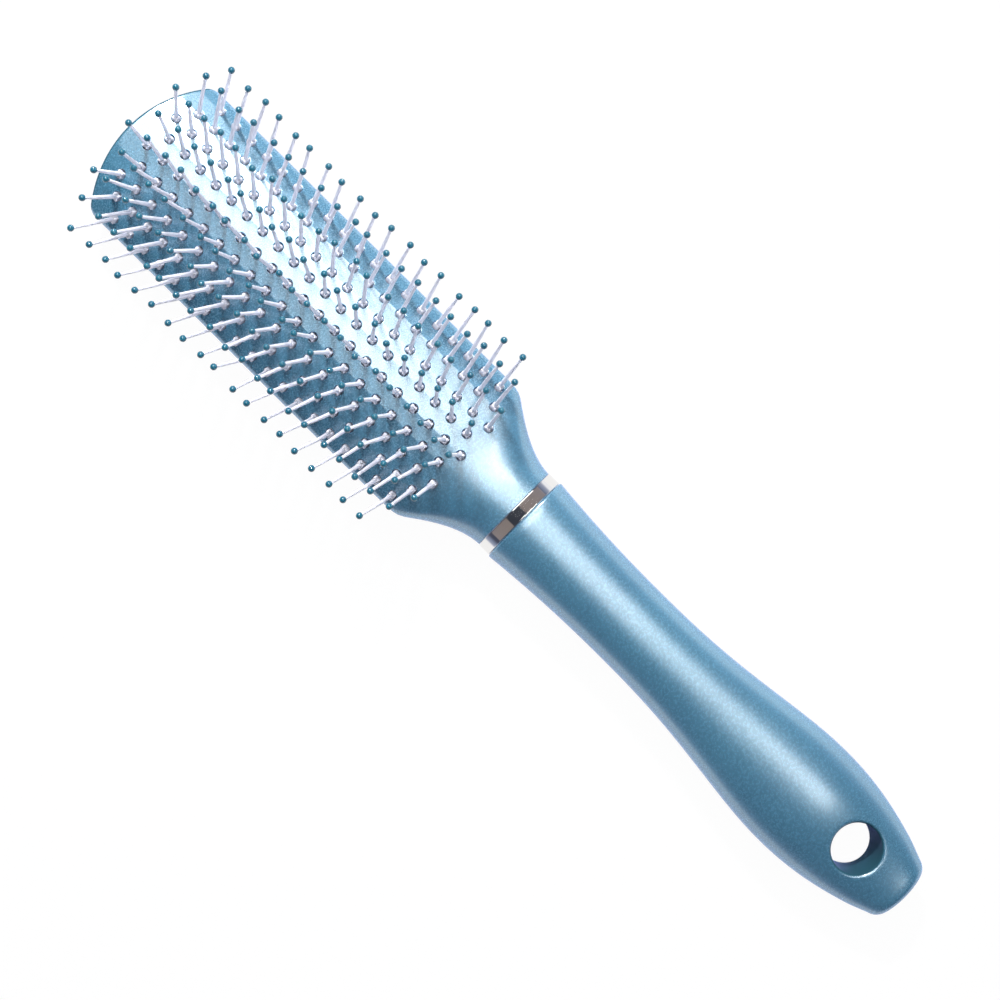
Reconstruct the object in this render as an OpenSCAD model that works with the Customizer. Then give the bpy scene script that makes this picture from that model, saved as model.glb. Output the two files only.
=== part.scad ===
// Hair styling brush: an arched head with nine fanned rows of ball-tipped pins,
// a bright ring at the neck and a waisted handle with a hanging hole.
// It lies on its back, pins up: X runs from the head to the handle's end, Z is up.

/* [Head] */
// Length of the head, from its tip to the shoulder
head_l = 105.3; // [80:0.1:130]
// Width of the head
head_w = 40.4; // [36:0.1:50]
// Radius of the arched face
arch_r = 36; // [32:0.5:60]
// Rounding between the arched face and the side walls
edge_r = 2; // [1.9:0.1:4]
// Straight height of the front shell's side walls
side_h = 2.6; // [2:0.1:6]
// Straight height of the back cover's side walls
cover_side_h = 1.1; // [0.8:0.1:3]
// Radius across the gently flattened back
back_r = 90; // [60:1:200]
// Rounding between the back and the side walls
back_edge_r = 5; // [3:0.1:5.5]
// Bow radius of the tip, seen from above
tip_bow_r = 39.5; // [30:0.5:80]
// Corner radius of the tip, seen from above
tip_corner_r = 3; // [2.5:0.1:6]
// Rounding of the tip, seen from the side
tip_round_r = 0.8; // [0.6:0.1:3]
// Wall of the front shell and the back cover
wall = 1.8; // [1.2:0.1:2]

/* [Back cover] */
// Height of the cover's lip over the parting line
lip_h = 1.2; // [0.6:0.1:1.5]
// Thickness of the lip
lip_t = 1; // [0.6:0.1:1.5]
// Clearance between the lip and the front shell
lip_gap = 0.15; // [0.05:0.05:0.3]
// Distance from the end of the cover to the ring
cover_run = 8; // [6:0.5:11]
// Gap at the end of the cover
cover_gap = 0.1; // [0.05:0.05:0.3]

/* [Neck and ring] */
// Length of the neck, from the shoulder to the ring
neck_l = 17.7; // [14:0.1:30]
// Width of the neck at the ring
neck_w = 22.6; // [19:0.1:26]
// Thickness of the neck at the ring
neck_t = 15.8; // [14:0.1:17]
// Drop from the crown of the head to the top of the neck
neck_drop = 0.7; // [0.2:0.1:1.2]
// Thickness of the solid wall at the neck's end
bulkhead_t = 5; // [3:0.5:5.5]
// Length of the ring along the brush
ring_l = 3.2; // [2:0.1:6]
// Thickness of the ring's band
ring_t = 1.2; // [0.8:0.1:2]
// Swell of the ring's face over the neck
ring_crown = 0.15; // [0.05:0.05:0.5]
// Clearance between the ring and its seat
ring_fit = 0.05; // [0.02:0.01:0.1]
// Gap at each side of the ring
ring_gap = 0.1; // [0.05:0.05:0.3]
// Diameter of the tang that holds the handle
tang_d = 11; // [8:0.1:11.5]
// Length of the tang inside the handle
tang_l = 24; // [12:0.5:40]
// Clearance round the tang and past its end
tang_gap = 0.1; // [0.05:0.05:0.4]

/* [Pins] */
// Distance between neighbouring pins in a row
pin_pitch = 5; // [4:0.1:8]
// Distance from the tip of the head to the first pin
first_pin = 6.3; // [5:0.1:9]
// Height of the middle of a ball tip over the face
pin_h = 16.2; // [10:0.1:20]
// Diameter of a pin where it leaves its strip
pin_root_d = 1.15; // [1.1:0.05:1.7]
// Diameter of a pin under its ball tip
pin_top_d = 0.75; // [0.7:0.05:1]
// Diameter of a ball tip
tip_d = 1.6; // [1.5:0.05:2.4]
// Depth of the pin inside its ball tip
tip_grip = 0.9; // [0.5:0.05:1.2]
// Clearance round the pin inside its ball tip
tip_fit = 0.01; // [0.01:0.01:0.05]
// Diameter of the holes in the face
hole_d = 2.4; // [2.2:0.05:3]
// Clearance between a pin's collar and its hole
collar_gap = 0.08; // [0.05:0.01:0.2]
// Width of the four lobes of a collar
lobe_w = 0.7; // [0.5:0.05:1]
// Height of a collar over the face
collar_h = 1; // [0.4:0.1:2]
// Width of the strip that carries a row of pins
strip_w = 3.3; // [2.6:0.1:3.4]
// Thickness of the strip
strip_t = 1.2; // [0.8:0.1:1.6]
// Length of the strip past its first and last pins
strip_end = 1.8; // [1.3:0.1:2]
// Gap between a strip and the inside of the face
strip_gap = 0.35; // [0.02:0.01:0.4]

/* [Handle] */
// Length of the handle, from its mouth to its end
handle_l = 120.6; // [110:0.1:150]
// Step of the handle's mouth over the neck
mouth_step = 0.45; // [0.2:0.05:1]
// Distance from the mouth to the waist
waist_x = 33; // [25:0.5:45]
// Width of the waist
waist_w = 20.2; // [16:0.1:24]
// Thickness of the waist
waist_t = 14.4; // [13.6:0.1:16]
// Distance from the mouth to the widest place
palm_x = 88.5; // [75:0.5:90]
// Width of the widest place
palm_w = 28.4; // [24:0.1:34]
// Thickness of the widest place
palm_t = 16.4; // [15:0.1:20]
// Width of the handle's end
end_w = 15.4; // [12:0.1:20]
// Thickness of the handle's end
end_t = 7.6; // [6:0.1:12]
// Height of the middle of the handle's end over the surface
end_z = 8.6; // [7:0.1:10]
// Rounding of the handle's end
end_r = 1.5; // [0.8:0.1:2]
// Rounding of the handle's mouth
mouth_r = 0.5; // [0.2:0.1:1]

/* [Hanging hole] */
// Diameter of the hanging hole
hang_d = 11; // [8:0.1:12]
// Distance from the middle of the hole to the handle's end
hang_x = 15.7; // [14:0.1:18]
// Break of the rims of the hole
hang_rim = 0.8; // [0.4:0.1:1.2]

/* [Hidden] */
ROWS = 9;
$fn = 24;

// Places along the brush, all measured from the tip of the head.
mid_row = (ROWS - 1) / 2;
half_w = head_w / 2;
neck_end = head_l + neck_l;
cover_end = neck_end - cover_run;
mouth_x = neck_end + ring_l + 2 * ring_gap;
total_l = mouth_x + handle_l;
hang_at = handle_l - hang_x;

// Angle and rise of an arch of radius r that ends in corners of radius e.
function arch_angle(w, r, e) = asin((w - e) / (r - e));
function arch_rise(w, r, e) = r - (r - e) * cos(arch_angle(w, r, e));

// Heights: the back rests on the surface, and the rest stands on it in turn.
part_h = arch_rise(half_w, back_r, back_edge_r) + cover_side_h;
crown_h = part_h + side_h + arch_rise(half_w, arch_r, edge_r);
axis_z = crown_h - arch_r;
neck_z = crown_h - neck_drop - neck_t / 2;

// The rows share the arch evenly, and each stands square on its own flat land.
land_angle = 2 * arch_angle(half_w, arch_r, edge_r) / ROWS;
pins_mid = floor((head_l - first_pin + pin_pitch / 4) / pin_pitch) + 1;

// The tip seen from above, set in by t: a bow whose corners run into the sides.
corner_dx = sqrt(pow(tip_bow_r - tip_corner_r, 2) - pow(half_w - tip_corner_r, 2));
corner_x = tip_bow_r - corner_dx;
nose_flat = 0.1;
function bow_end(t) = tip_bow_r - (tip_bow_r - t) * corner_dx / (tip_bow_r - tip_corner_r);
function bow(x, t) = sqrt(pow(tip_bow_r - t, 2) - pow(tip_bow_r - max(x, t + nose_flat), 2));
function corner(x, t) = half_w - tip_corner_r + sqrt(pow(tip_corner_r - t, 2) - pow(corner_x - x, 2));

// The shoulder starts softly and runs out in the neck.
shoulder_soft = 1.5;
shoulder_pow = 1.7;
function ramp(s) = (s + sqrt(s * s + shoulder_soft * shoulder_soft)) / 2;
function shoulder(x) = pow(max(0, 1 - ramp(x - head_l) / neck_l), shoulder_pow);
function side(x) = neck_w / 2 + (half_w - neck_w / 2) * shoulder(x);
function plan(x, t) = x < bow_end(t) ? bow(x, t) : x < corner_x ? corner(x, t) : side(x) - t;

// Smooth step, and how far a rounding of radius r lowers a surface at x from its end.
function ease(u) = let(c = min(1, max(0, u))) c * c * (3 - 2 * c);
function round_drop(x, r) = x < r ? r - sqrt(r * r - pow(r - x, 2)) : 0;
function mix(a, b, m) = a * (1 - m) + b * m;

// Half of an arch as points [y, drop]: the lands first, then the corner.
CORNER_STEPS = 3;
HALF_N = mid_row + 1 + CORNER_STEPS;
function arch_half(w, r, e0) = let(e = min(e0, w / 2), a = arch_angle(w, r, e), c = (r - e) * cos(a),
    rv = r / cos(a / ROWS)) concat(
    [for (k = [0:mid_row]) let(b = a * (k + 0.5) / (mid_row + 0.5)) [rv * sin(b), r - rv * cos(b)]],
    [for (i = [1:CORNER_STEPS]) let(b = a + (90 - a) * i / CORNER_STEPS)
        [w - e + e * sin(b), r - c - e * cos(b)]]);

// A quarter of an oval as points [y, drop], from its top to its side.
OVAL_POW = 0.9;
function oval_half(w, h, n) = [for (i = [0:n - 1]) let(a = 90 * (i + 0.5) / n)
    [w * pow(sin(a), OVAL_POW), h * (1 - pow(cos(a), OVAL_POW))]];

// Halves of a loop, seen along X, and the whole loop round them.
function above(p, top) = [for (q = p) [q[0], top - q[1]]];
function below(p, base) = [for (i = [len(p) - 1:-1:0]) [p[i][0], base + p[i][1]]];
function whole(p) = concat(p, [for (i = [len(p) - 1:-1:0]) [-p[i][0], p[i][1]]]);
function oval_loop(w, h, z, n) = let(p = oval_half(w, h, n)) whole(concat(above(p, z + h), below(p, z - h)));

// The head and neck at x, set in by t: the arches turn into the neck's oval.
function neckness(x) = ease((x - head_l + neck_l / 3) / (neck_l + 4));
function head_loop(x, t) =
    let(w = plan(x, t), d = t + round_drop(x - t, tip_round_r),
        face = above(arch_half(w, arch_r - t, edge_r - t), crown_h - d),
        back = below(arch_half(w, back_r - t, back_edge_r - t), d),
        arches = whole(concat(face, back)),
        oval = oval_loop(w, neck_t / 2 - t, neck_z, HALF_N))
    [for (i = [0:len(arches) - 1]) mix(arches[i], oval[i], neckness(x))];

// Skin over a row of loops, with a flat cap at each end.
module skin(xs, loops) {
    n = len(loops[0]);
    m = len(xs);
    pts = [for (i = [0:m - 1]) for (q = loops[i]) [xs[i], q[0], q[1]]];
    sides = [for (i = [0:m - 2]) for (j = [0:n - 1]) let(k = (j + 1) % n)
        [i * n + j, i * n + k, (i + 1) * n + k, (i + 1) * n + j]];
    caps = [[for (j = [n - 1:-1:0]) j], [for (j = [0:n - 1]) (m - 1) * n + j]];
    polyhedron(pts, concat(sides, caps));
}

// Stations along the head and neck, close together where the form turns.
TIP_STEPS = 4;
NECK_STEPS = 9;
function head_stations(t, to) = let(b = bow_end(t)) concat(
    [for (i = [0:TIP_STEPS]) t + (b - t) * pow(i / TIP_STEPS, 2)],
    [mix(b, corner_x, 0.5), corner_x, head_l - neck_l / 4, head_l - neck_l / 9],
    [for (i = [0:NECK_STEPS]) mix(head_l, to, i / NECK_STEPS)]);
module head_form(t, to) {
    xs = head_stations(t, to);
    skin(xs, [for (x = xs) head_loop(x, t)]);
}

// The room inside the head, and the block that parts the cover from the shell.
module cavity() {
    head_form(wall, neck_end - bulkhead_t);
}
module cover_block(to) {
    translate([-1, -head_w, -1]) cube([to + 1, 2 * head_w, part_h + 1]);
}

// Pins of row k, counted from the middle row: every other row is set half a
// pitch on, and the outermost rows leave out their first and last pins.
function pin_xs(k) = let(odd = abs(k) % 2, last = abs(k) == mid_row ? 1 : 0)
    [for (i = [last:pins_mid - 1 - odd - last]) first_pin + (i + odd / 2) * pin_pitch];
module on_row(k) {
    translate([0, 0, axis_z]) rotate([-k * land_angle, 0, 0]) children();
}
module on_pins(k) {
    on_row(k) for (x = pin_xs(k)) translate([x, 0, 0]) children();
}

// An oval bar along X, as the ring and its seat use it.
RING_N = 10;
module oval_bar(x, l, w, h) {
    skin([x, x + l], [for (i = [0:1]) oval_loop(w, h, neck_z, RING_N)]);
}

module front_shell() {
    color("lightsteelblue") difference() {
        union() {
            head_form(0, neck_end);
            oval_bar(neck_end - 1, mouth_x - neck_end + 1, neck_w / 2 - ring_t, neck_t / 2 - ring_t);
            translate([neck_end, 0, neck_z]) rotate([0, 90, 0])
                cylinder(d = tang_d, h = mouth_x - neck_end + tang_l);
        }
        cavity();
        cover_block(cover_end);
        for (k = [-mid_row:mid_row]) on_pins(k)
            translate([0, 0, arch_r - 2 * wall]) cylinder(d = hole_d, h = 3 * wall);
    }
}

// The cover's lip follows the head's plan inside the front shell's walls.
function lip_plan(t) = let(xs = [for (x = head_stations(t, head_l)) if (x < head_l - neck_l / 3) x],
    far = head_l - neck_l / 3, ys = concat([for (x = xs) [x, plan(x, t)]], [[far, plan(far, t)]]))
    concat(ys, [for (i = [len(ys) - 1:-1:0]) [ys[i][0], -ys[i][1]]]);
module back_cover() {
    outer = wall + lip_gap;
    color("steelblue") {
        difference() {
            intersection() {
                head_form(0, neck_end);
                cover_block(cover_end - cover_gap);
            }
            cavity();
        }
        translate([0, 0, part_h - 2 * lip_t]) linear_extrude(2 * lip_t + lip_h) difference() {
            polygon(lip_plan(outer));
            intersection() {
                polygon(lip_plan(outer + lip_t));
                translate([0, -head_w]) square([head_l - neck_l / 3 - lip_t, 2 * head_w]);
            }
        }
    }
}

// A strip with its pins, each with a four-lobed collar that fills its hole.
strip_top = arch_r - wall - strip_gap;
collar_len = sqrt(pow(hole_d - 2 * collar_gap, 2) - lobe_w * lobe_w);
module pin() {
    shaft = wall + strip_gap + pin_h - tip_d / 2;
    translate([0, 0, strip_top - strip_t / 2]) cylinder(d = pin_root_d, h = strip_t / 2);
    translate([0, 0, strip_top]) cylinder(d1 = pin_root_d, d2 = pin_top_d, h = shaft);
    translate([0, 0, strip_top + shaft]) cylinder(d = pin_top_d, h = tip_grip);
    for (a = [0, 90]) rotate(a) translate([-collar_len / 2, -lobe_w / 2, strip_top - strip_t / 2])
        cube([collar_len, lobe_w, strip_t / 2 + strip_gap + wall + collar_h]);
}
module pin_strip(k) {
    xs = pin_xs(k);
    color("ghostwhite") {
        on_row(k) translate([xs[0] - strip_end, -strip_w / 2, strip_top - strip_t])
            cube([xs[len(xs) - 1] - xs[0] + 2 * strip_end, strip_w, strip_t]);
        on_pins(k) pin();
    }
}

// Ball tips, each with a blind bore that the end of its pin fills.
module tip_row(k) {
    color("teal") on_pins(k) translate([0, 0, arch_r + pin_h]) difference() {
        sphere(d = tip_d);
        translate([0, 0, -tip_d]) cylinder(d = pin_top_d + 2 * tip_fit, h = tip_d / 2 + tip_grip + tip_fit);
    }
}

module ferrule_ring() {
    xs = [for (u = [0, 0.15, 0.5, 0.85, 1]) neck_end + ring_gap + ring_l * u];
    swell = [for (u = [0, 0.7, 1, 0.7, 0]) ring_crown * u];
    color("silver") difference() {
        skin(xs, [for (s = swell) oval_loop(neck_w / 2 + s, neck_t / 2 + s, neck_z, RING_N)]);
        oval_bar(neck_end, ring_l + 2 * ring_gap,
            neck_w / 2 - ring_t + ring_fit, neck_t / 2 - ring_t + ring_fit);
    }
}

// Half width, half thickness and middle height of the handle at u from its mouth.
function from_mouth(u, a, b) = b + (a - b) * pow(1 - u / waist_x, 2);
function to_palm(u, a, b) = mix(a, b, ease(pow((u - waist_x) / (palm_x - waist_x), 1.4)));
function past_palm(u) = (u - palm_x) / (handle_l - palm_x);
function handle_w(u) = (u < waist_x ? from_mouth(u, neck_w + 2 * mouth_step, waist_w) :
    u < palm_x ? to_palm(u, waist_w, palm_w) :
    mix(palm_w, end_w, 1 - cos(90 * pow(past_palm(u), 1.1)))) / 2;
function handle_h(u) = (u < waist_x ? from_mouth(u, neck_t + 2 * mouth_step, waist_t) :
    u < palm_x ? to_palm(u, waist_t, palm_t) : mix(palm_t, end_t, ease(past_palm(u)))) / 2;
function handle_z(u) = u < palm_x ? mix(neck_z, palm_t / 2, ease(u / palm_x)) :
    mix(palm_t / 2, end_z, ease(past_palm(u)));

// The handle's loops lose height and width in the roundings of mouth and end.
HANDLE_N = 8;
HANDLE_STEPS = 22;
function handle_loop(u) = let(d = round_drop(u, mouth_r) + round_drop(handle_l - u, end_r))
    oval_loop(handle_w(u) - d, handle_h(u) - d, handle_z(u), HANDLE_N);

// A hole's broken rim: a cone that cuts hang_rim deep and as wide.
module rim_cutter() {
    translate([0, 0, -2 * hang_rim])
        cylinder(d1 = hang_d - 2 * hang_rim, d2 = hang_d + 4 * hang_rim, h = 3 * hang_rim, $fn = 48);
}
module handle() {
    us = concat([for (s = [0, 0.3]) mouth_r * s],
        [for (i = [0:HANDLE_STEPS]) mix(mouth_r, handle_l - end_r, i / HANDLE_STEPS)],
        [for (s = [0.6, 0.85, 1]) handle_l - end_r * (1 - s)]);
    slope = atan((handle_h(hang_at - 1) - handle_h(hang_at + 1)) / 2);
    color("lightsteelblue") translate([mouth_x, 0, 0]) difference() {
        skin(us, [for (u = us) handle_loop(u)]);
        translate([-1, 0, neck_z]) rotate([0, 90, 0])
            cylinder(d = tang_d + 2 * tang_gap, h = tang_l + tang_gap + 1);
        translate([hang_at, 0, -1]) cylinder(d = hang_d, h = palm_t + 2, $fn = 48);
        translate([hang_at, 0, handle_z(hang_at)]) for (s = [1, -1]) mirror([0, 0, s < 0 ? 1 : 0])
            translate([0, 0, handle_h(hang_at)]) rotate([0, slope, 0]) rim_cutter();
    }
}

module place() {
    translate([-total_l / 2, 0, 0]) children();
}
place() front_shell();
place() back_cover();
for (i = [1:ROWS]) {
    place() pin_strip(i - 1 - mid_row);
    place() tip_row(i - 1 - mid_row);
}
place() ferrule_ring();
place() handle();
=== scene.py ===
import math
import bmesh
import bpy
import numpy as np
from mathutils import Euler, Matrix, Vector


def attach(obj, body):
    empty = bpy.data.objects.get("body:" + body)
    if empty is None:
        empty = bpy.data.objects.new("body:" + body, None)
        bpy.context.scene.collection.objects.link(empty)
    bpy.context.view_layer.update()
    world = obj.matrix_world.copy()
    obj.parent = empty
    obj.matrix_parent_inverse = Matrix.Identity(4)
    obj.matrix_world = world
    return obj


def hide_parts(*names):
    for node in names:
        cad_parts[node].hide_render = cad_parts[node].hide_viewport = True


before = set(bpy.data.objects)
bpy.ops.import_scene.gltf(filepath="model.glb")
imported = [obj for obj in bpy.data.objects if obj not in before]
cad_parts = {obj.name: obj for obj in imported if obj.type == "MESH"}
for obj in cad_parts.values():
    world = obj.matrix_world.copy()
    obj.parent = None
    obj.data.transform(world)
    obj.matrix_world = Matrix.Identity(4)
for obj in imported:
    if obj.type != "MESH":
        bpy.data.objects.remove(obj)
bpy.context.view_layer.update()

mm = 0.001

# Measures in millimetres. x runs from the tip of the head, z stands on the surface.
head = dict(length=105.3, width=40.4, archR=36.0, edgeR=2.0, tipR=0.8, backR=90.0, backEdgeR=5.0,
            backBlend=20.0, sideH=2.6, coverSideH=1.1, bowR=39.5, cornerR=3.0, wall=1.8, leastR=0.2)
neck = dict(length=17.7, width=22.6, thick=15.8, drop=0.7, coverRun=8.0, coverGap=0.1, bulkhead=5.0,
            shoulderSoft=1.5, shoulderPow=1.7, ovalPow=0.9, ovalRun=4.0, tangD=11.0, tangL=24.0,
            tangFit=0.1)

# Stations of q, the way round a section: where its arch, its corner and its side wall end.
archQ, cornerQ, wallQ = 4.5, 7.5, 8.0

halfW = head["width"] / 2
neckEnd = head["length"] + neck["length"]


def ease(u):  # smooth step, 3 u^2 - 2 u^3
    u = np.clip(u, 0, 1)
    return u * u * (3 - 2 * u)


def archAngle(w, r, e):  # where an arch of radius r meets its corner of radius e
    return np.arcsin((w - e) / (r - e))


def archRise(w, r, e):  # how high the arch and its corner stand over the side wall
    return r - (r - e) * np.cos(archAngle(w, r, e))


partH = archRise(halfW, head["backR"], head["backEdgeR"]) + head["coverSideH"]
crownH = partH + head["sideH"] + archRise(halfW, head["archR"], head["edgeR"])
axisZ = crownH - head["archR"]
neckZ = crownH - neck["drop"] - neck["thick"] / 2
cornerX = head["bowR"] - math.sqrt((head["bowR"] - head["cornerR"]) ** 2 - (halfW - head["cornerR"]) ** 2)


# Half width of the head at x: straight sides that run down a soft shoulder into the neck. s is the
# way past the head, ramp its soft start (s + sqrt(s^2 + soft^2)) / 2, and what is wider than the
# neck goes down by (1 - ramp / length)^power.
def sideLine(x):
    s = x - head["length"]
    ramp = (s + np.sqrt(s * s + neck["shoulderSoft"] ** 2)) / 2
    run = np.maximum(0, 1 - ramp / neck["length"]) ** neck["shoulderPow"]
    return neck["width"] / 2 + (halfW - neck["width"] / 2) * run


# Section of the head at x, set in by t. q runs from 0 on the middle line round an arch, round its
# corner and down the side wall to the parting. The face's arch is broken into flats that meet
# under the rows of pins, at each whole q: a flat's radius is r cos(half its angle) / cos(angle
# from its middle). The neck's oval, a sine and cosine raised to a power, takes over by degrees.
# side is 1 for the face and -1 for the back.
def section(x, q, side=1, t=0.0):
    x, q = np.broadcast_arrays(np.asarray(x, float), np.asarray(q, float))
    r = (head["archR"] if side > 0 else head["backR"]) - t
    grown = ease((x - cornerX) / head["backBlend"])
    e = head["edgeR"] + (head["backEdgeR"] - head["edgeR"]) * grown if side < 0 else head["edgeR"]
    e = np.maximum(e - t, head["leastR"])
    w = sideLine(x) - t
    a = archAngle(w, r, e)
    onArch = a * np.minimum(q, archQ) / archQ
    onEdge = a + (math.pi / 2 - a) * np.clip((q - archQ) / (cornerQ - archQ), 0, 1)
    flatEnd = np.minimum(np.floor(q) + 1, archQ)
    halfFlat = a * (flatEnd - np.floor(q)) / (2 * archQ)
    fromMid = onArch - a * (flatEnd + np.floor(q)) / (2 * archQ)
    rq = r * np.cos(halfFlat) / np.cos(fromMid) if side > 0 else r
    y = np.where(q < archQ, rq * np.sin(onArch), w - e + e * np.sin(onEdge))
    drop = np.where(q < archQ, r - rq * np.cos(onArch), r - (r - e) * np.cos(a) - e * np.cos(onEdge))
    z = (crownH - t if side > 0 else t) - side * drop
    z = z + (partH - z) * np.clip((q - cornerQ) / (wallQ - cornerQ), 0, 1)
    turn = math.pi / 2 * q / wallQ
    ovalY = w * np.abs(np.sin(turn)) ** neck["ovalPow"]
    ovalZ = neckZ + side * (neck["thick"] / 2 - t) * np.abs(np.cos(turn)) ** neck["ovalPow"]
    m = ease((x - head["length"] + neck["length"] / 3) / (neck["length"] + neck["ovalRun"]))
    return y * (1 - m) + ovalY * m, z * (1 - m) + ovalZ * m


# Section points for signed q: the sign of q picks the side of the middle line.
def across(x, q, side=1, t=0.0):
    y, z = section(x, np.abs(q), side, t)
    x = np.broadcast_to(np.asarray(x, float), y.shape)
    return np.stack([x, np.where(np.asarray(q) < 0, -y, y), z], -1)


# The q where the face stands at polar angle f round the arch's axis, found by halving a bracket.
def faceQ(x, f, t=0.0, halvings=30):
    x, f = np.broadcast_arrays(np.asarray(x, float), np.asarray(f, float))
    lo, hi = np.zeros(x.shape), np.full(x.shape, wallQ)
    for _ in range(halvings):
        mid = (lo + hi) / 2
        y, z = section(x, mid, 1, t)
        low = np.arctan2(y, z - axisZ) < np.abs(f)
        lo, hi = np.where(low, mid, lo), np.where(low, hi, mid)
    return np.where(f < 0, -hi, hi)


bowEnd = math.asin((halfW - head["cornerR"]) / (head["bowR"] - head["cornerR"]))


# Tip edge at plan angle s from straight ahead. Its centre lies on the outline set in by the edge
# radius e, on the bow or in the corner, and the round swings about it from the way up, square to
# the arch, to the way out, square to the wall: p = c + e (up sin(b - v) + out sin v) / sin b, with b
# the angle between the two ways and v the swing. The edge is sharp along the bow and grows as
# round as the sides through the corner.
def tipEdge(s, steps, side, t):
    r = head["archR"] if side > 0 else head["backR"]
    rc, rb = head["cornerR"], head["bowR"]
    size = np.abs(s)
    onBow = size <= bowEnd
    e = head["tipR"] + (head["edgeR"] - head["tipR"]) * ease((size - bowEnd) / (math.pi / 2 - bowEnd))
    e = np.maximum(e, t + head["leastR"])
    cx = np.where(onBow, rb - (rb - e) * np.cos(size), cornerX - (rc - e) * np.cos(size))
    cy = np.where(onBow, (rb - e) * np.sin(size), halfW - rc + (rc - e) * np.sin(size)) * np.sign(s)
    f = np.arcsin(cy / (r - e))
    cz = (crownH - r if side > 0 else r) + side * (r - e) * np.cos(f)
    c = np.stack([cx, cy, cz], -1)[None]
    up = np.stack([0 * f, np.sin(f), side * np.cos(f)], -1)[None]
    out = np.stack([-np.cos(s), np.sin(s), 0 * s], -1)[None]
    q = steps[:, None, None]
    between = np.arccos((up * out).sum(-1, keepdims=True))
    swing = np.clip((q - archQ) / (cornerQ - archQ), 0, 1) * between
    p = c + (e - t)[None, :, None] * (up * np.sin(between - swing) + out * np.sin(swing)) / np.sin(between)
    p[..., 2] += (partH - p[..., 2]) * np.clip((q[..., 0] - cornerQ) / (wallQ - cornerQ), 0, 1)
    return p


# Plan angle of the tip edge that lies at the same place across as polar angle f on the face.
def tipAngle(f, r, t):
    e = max(head["tipR"], t + head["leastR"])
    along = (r - e) * np.sin(np.abs(f)) / (head["bowR"] - e)
    return np.where(along <= math.sin(bowEnd), np.arcsin(np.minimum(1, along)), math.pi / 2) * np.sign(f)


# Collects points and faces of one piece, then makes the object.
class Skin:
    def __init__(self):
        self.points, self.faces, self.count = [], {}, 0

    def grid(self, p):
        p = np.asarray(p, float)
        index = self.count + np.arange(p[..., 0].size).reshape(p.shape[:-1])
        self.points.append(p.reshape(-1, 3))
        self.count += index.size
        return index

    def add(self, faces):
        faces = np.asarray(faces)
        faces = faces.reshape(-1, faces.shape[-1])
        self.faces.setdefault(faces.shape[1], []).append(faces)

    def sheet(self, index, keep=None, wrap=False):  # quads between rows of indices
        near = index
        if wrap:
            near = np.concatenate([index, index[:, :1]], 1)
        quads = np.stack([near[:-1, :-1], near[:-1, 1:], near[1:, 1:], near[1:, :-1]], -1)
        self.add(quads[keep] if keep is not None else quads)

    def tubes(self, index):  # quads round many tubes at once: rows of loops, closed on themselves
        near = np.concatenate([index, index[:, :, :1]], 2)
        self.add(np.stack([near[:, :-1, :-1], near[:, :-1, 1:], near[:, 1:, 1:], near[:, 1:, :-1]], -1))
        return near

    def make(self, name, weld=2e-6, sharp=35):  # weld in metres, sharp in degrees
        co = np.concatenate(self.points) * mm
        co[:, 0] -= totalL / 2 * mm
        me = bpy.data.meshes.new(name)
        sets = [np.concatenate(f) for f in self.faces.values()]
        sizes = np.concatenate([np.full(len(f), f.shape[1]) for f in sets])
        loops = np.concatenate([f.ravel() for f in sets]).astype(np.int32)
        me.vertices.add(len(co))
        me.vertices.foreach_set("co", co.astype(np.float32).ravel())
        me.loops.add(len(loops))
        me.loops.foreach_set("vertex_index", loops)
        me.polygons.add(len(sizes))
        starts = np.concatenate([[0], np.cumsum(sizes)[:-1]])
        me.polygons.foreach_set("loop_start", starts.astype(np.int32))
        me.update(calc_edges=True)
        bm = bmesh.new()
        bm.from_mesh(me)
        bmesh.ops.remove_doubles(bm, verts=bm.verts, dist=weld)
        bmesh.ops.recalc_face_normals(bm, faces=bm.faces)
        openEdges = sum(1 for e in bm.edges if len(e.link_faces) != 2)
        volume = bm.calc_volume(signed=True) * 1e9
        bm.to_mesh(me)
        bm.free()
        me.polygons.foreach_set("use_smooth", np.ones(len(me.polygons), bool))
        me.set_sharp_from_angle(angle=math.radians(sharp))
        ob = bpy.data.objects.new(name, me)
        bpy.context.collection.objects.link(ob)
        print(name, "faces", len(me.polygons), "open edges", openEdges, "mm3", round(volume, 1))
        return ob


# Pins, with the holes, collars and strips that go with them.
pins = dict(rows=9, pitch=5.0, first=6.3, height=16.2, rootD=1.1, topD=0.7, ballD=1.6, holeD=2.4,
            holeRim=0.12, collarD=2.16, collarH=1.0, lobe=0.45, collarShift=0.1, stripW=3.3, stripT=1.2,
            stripEnd=1.8, stripGap=0.35)
midRow = (pins["rows"] - 1) // 2
faceAngle = float(archAngle(halfW, head["archR"], head["edgeR"]))
landAngle = 2 * faceAngle / pins["rows"]
pinsMid = int((head["length"] - pins["first"] + pins["pitch"] / 4) // pins["pitch"]) + 1


# Places of the pins of row k along x: every other row is set on by half a pitch, and the
# outermost rows leave out their first and last pins.
def pinPlaces(k):
    odd, last = abs(k) % 2, int(abs(k) == midRow)
    return pins["first"] + (np.arange(last, pinsMid - odd - last) + odd / 2) * pins["pitch"]


ring = dict(length=3.2, thick=1.2, fit=0.05, gap=0.1, crown=0.15, edge=0.22)
mouthX = neckEnd + ring["length"] + 2 * ring["gap"]


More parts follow.
